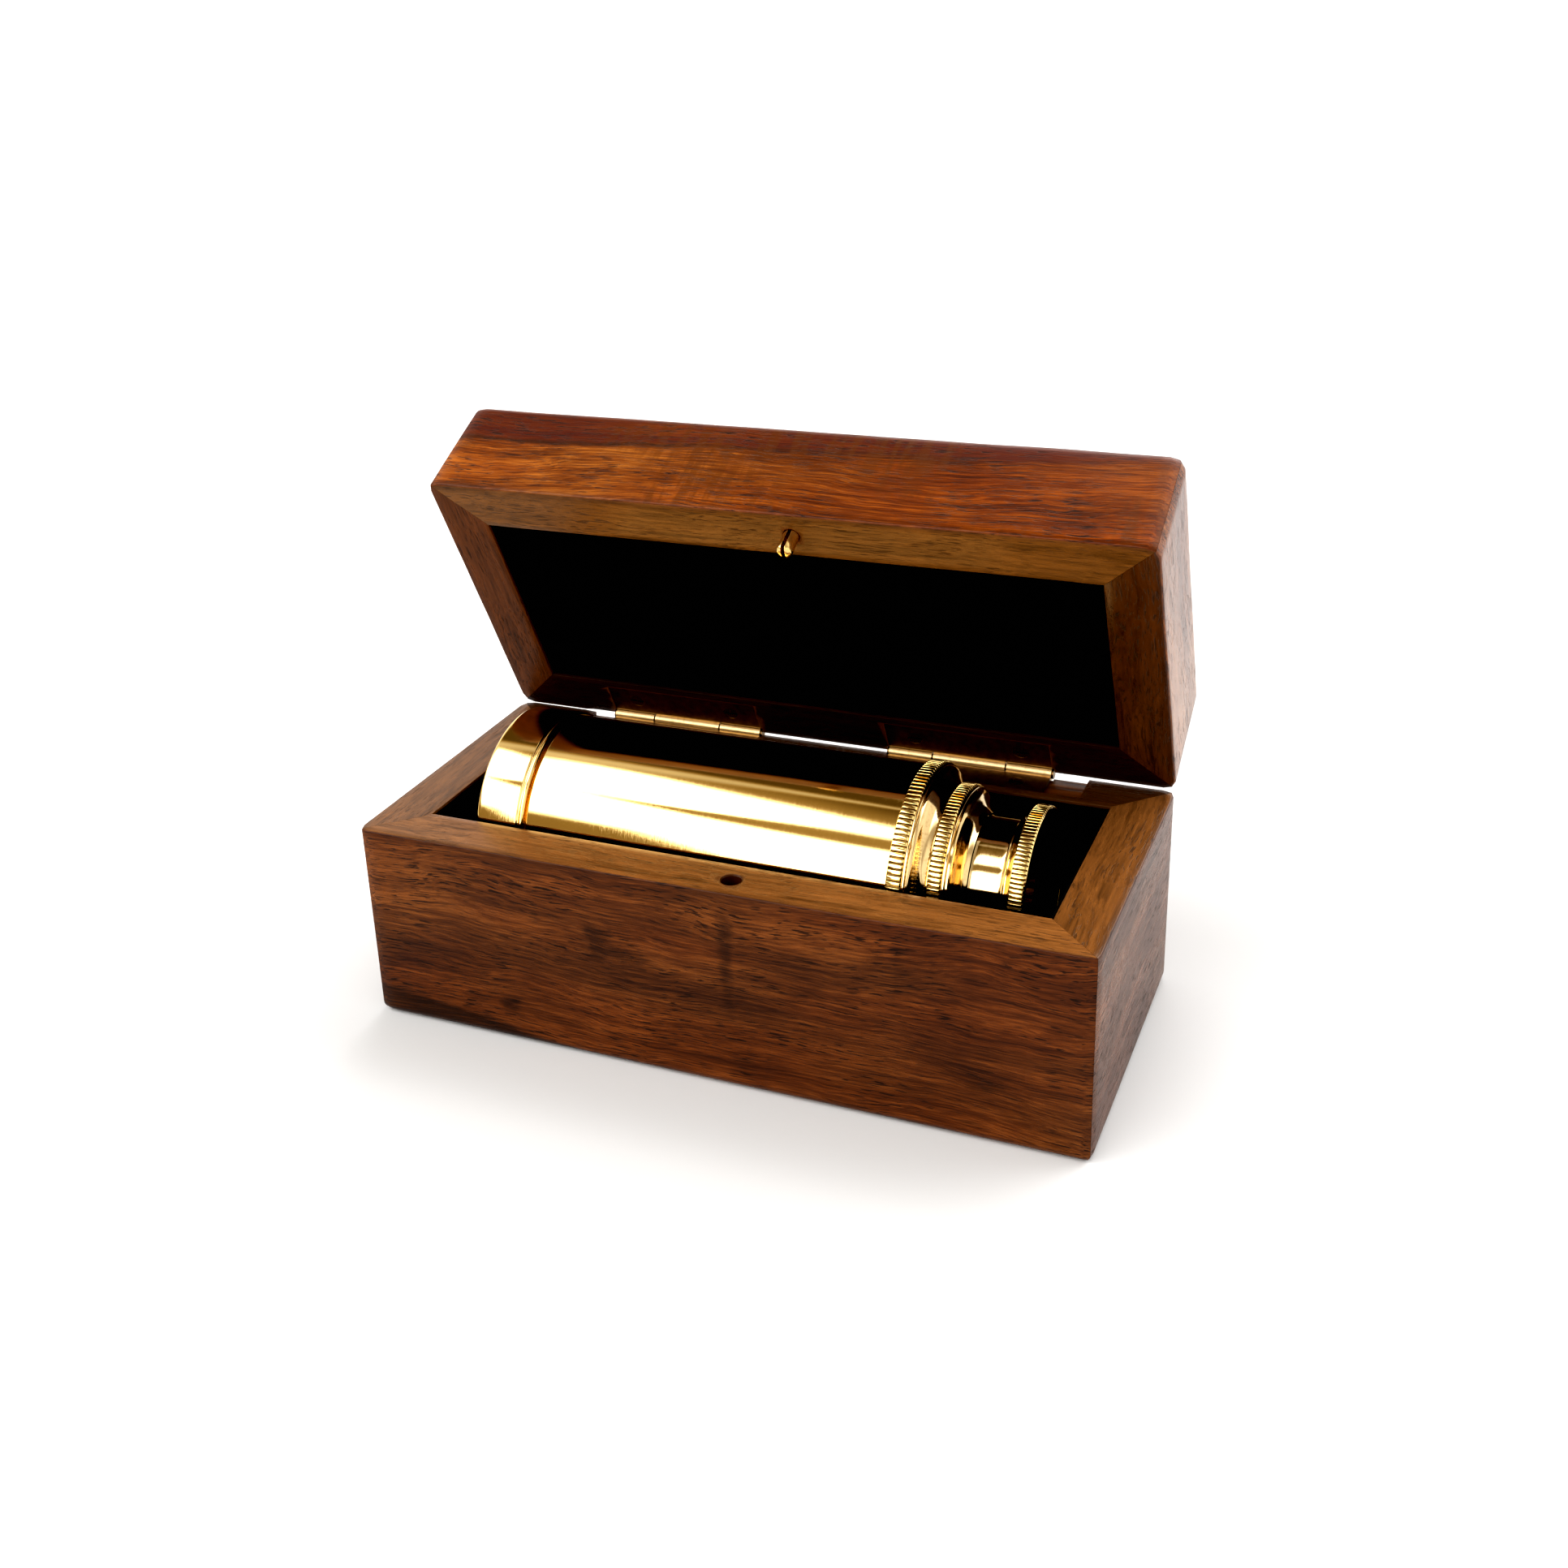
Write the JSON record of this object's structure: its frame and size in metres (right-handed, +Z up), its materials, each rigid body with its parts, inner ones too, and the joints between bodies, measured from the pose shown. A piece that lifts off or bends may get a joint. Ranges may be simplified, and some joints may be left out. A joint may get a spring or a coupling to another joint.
{
  "type": "kaleidoscope",
  "caption": "Polished brass kaleidoscope with a turning object cell, lying in its velvet-lined, hinged wooden case with the lid open.",
  "frame": {"origin": "middle of the underside of the case", "axes": "+X along the case and the tube, towards the eyecup; +Y towards the hinges; +Z up"},
  "size_m": [0.164, 0.0983, 0.1247],
  "materials": {
    "base_wood": "oiled rosewood, fine dark streaks, semi-gloss",
    "lid_wood": "oiled rosewood, orange-brown, semi-gloss",
    "velvet": "black flocked velvet",
    "hinge_brass": "plain rolled brass, lightly tarnished",
    "polished_brass": "mirror polished and lacquered",
    "plain_brass": "turned, unpolished",
    "spring_steel": "drawn wire",
    "mirror_silver": "first-surface silvered glass",
    "clear_glass": "polished clear",
    "frosted_glass": "ground on its outer face",
    "coloured_glass": "transparent, several tints",
    "black_card": "matt black card",
    "grey_card": "plain pressed board",
    "black_anodised": "matt black"
  },
  "bodies": {
    "case_base": {"base_front_wall": "base_wood", "base_back_wall": "base_wood", "base_left_wall": "base_wood", "base_right_wall": "base_wood", "base_bottom_board": "base_wood", "base_velvet_lining": "velvet", "left_hinge_base_leaf": "hinge_brass", "right_hinge_base_leaf": "hinge_brass", "left_hinge_pin": "hinge_brass", "right_hinge_pin": "hinge_brass", "hinge_screws_base": "hinge_brass"},
    "lid": {"lid_front_rail": "lid_wood", "lid_back_rail": "lid_wood", "lid_left_rail": "lid_wood", "lid_right_rail": "lid_wood", "lid_top_board": "lid_wood", "lid_velvet_lining": "velvet", "left_hinge_lid_leaf": "hinge_brass", "right_hinge_lid_leaf": "hinge_brass", "hinge_screws_lid": "hinge_brass", "catch_pin": "hinge_brass"},
    "kaleidoscope": {"barrel_tube": "polished_brass", "end_collar": "polished_brass", "eyepiece_adaptor": "polished_brass", "eyecup": "polished_brass", "eye_lens": "clear_glass", "eye_lens_ring": "black_anodised", "mirror_base": "mirror_silver", "mirror_front": "mirror_silver", "mirror_rear": "mirror_silver", "mirror_eye_mask": "black_card", "mirror_object_mask": "black_card", "mirror_packing_rings": "grey_card", "cell_bearing_ring": "plain_brass", "cell_snap_ring": "spring_steel"},
    "object_cell": {"cell_housing": "polished_brass", "cell_outer_window": "frosted_glass", "cell_spacer_ring": "plain_brass", "cell_inner_window": "clear_glass", "cell_retaining_ring": "plain_brass", "glass_chips": "coloured_glass"}
  },
  "joints": [
    {"name": "lid_hinge", "type": "hinge", "parent": "case_base", "child": "lid", "pos_m": [0, 0.03775, 0.04645], "axis": [1, 0, 0], "range_deg": [-117, 63]},
    {"name": "kaleidoscope_lift_out", "type": "hinge", "parent": "case_base", "child": "kaleidoscope", "pos_m": [0, -0.07, 0.0442], "axis": [1, 0, 0], "range_deg": [0, 201]},
    {"name": "cell_turn", "type": "hinge", "parent": "kaleidoscope", "child": "object_cell", "pos_m": [-0.055, 0, 0.0375], "axis": [1, 0, 0], "continuous": true}
  ]
}
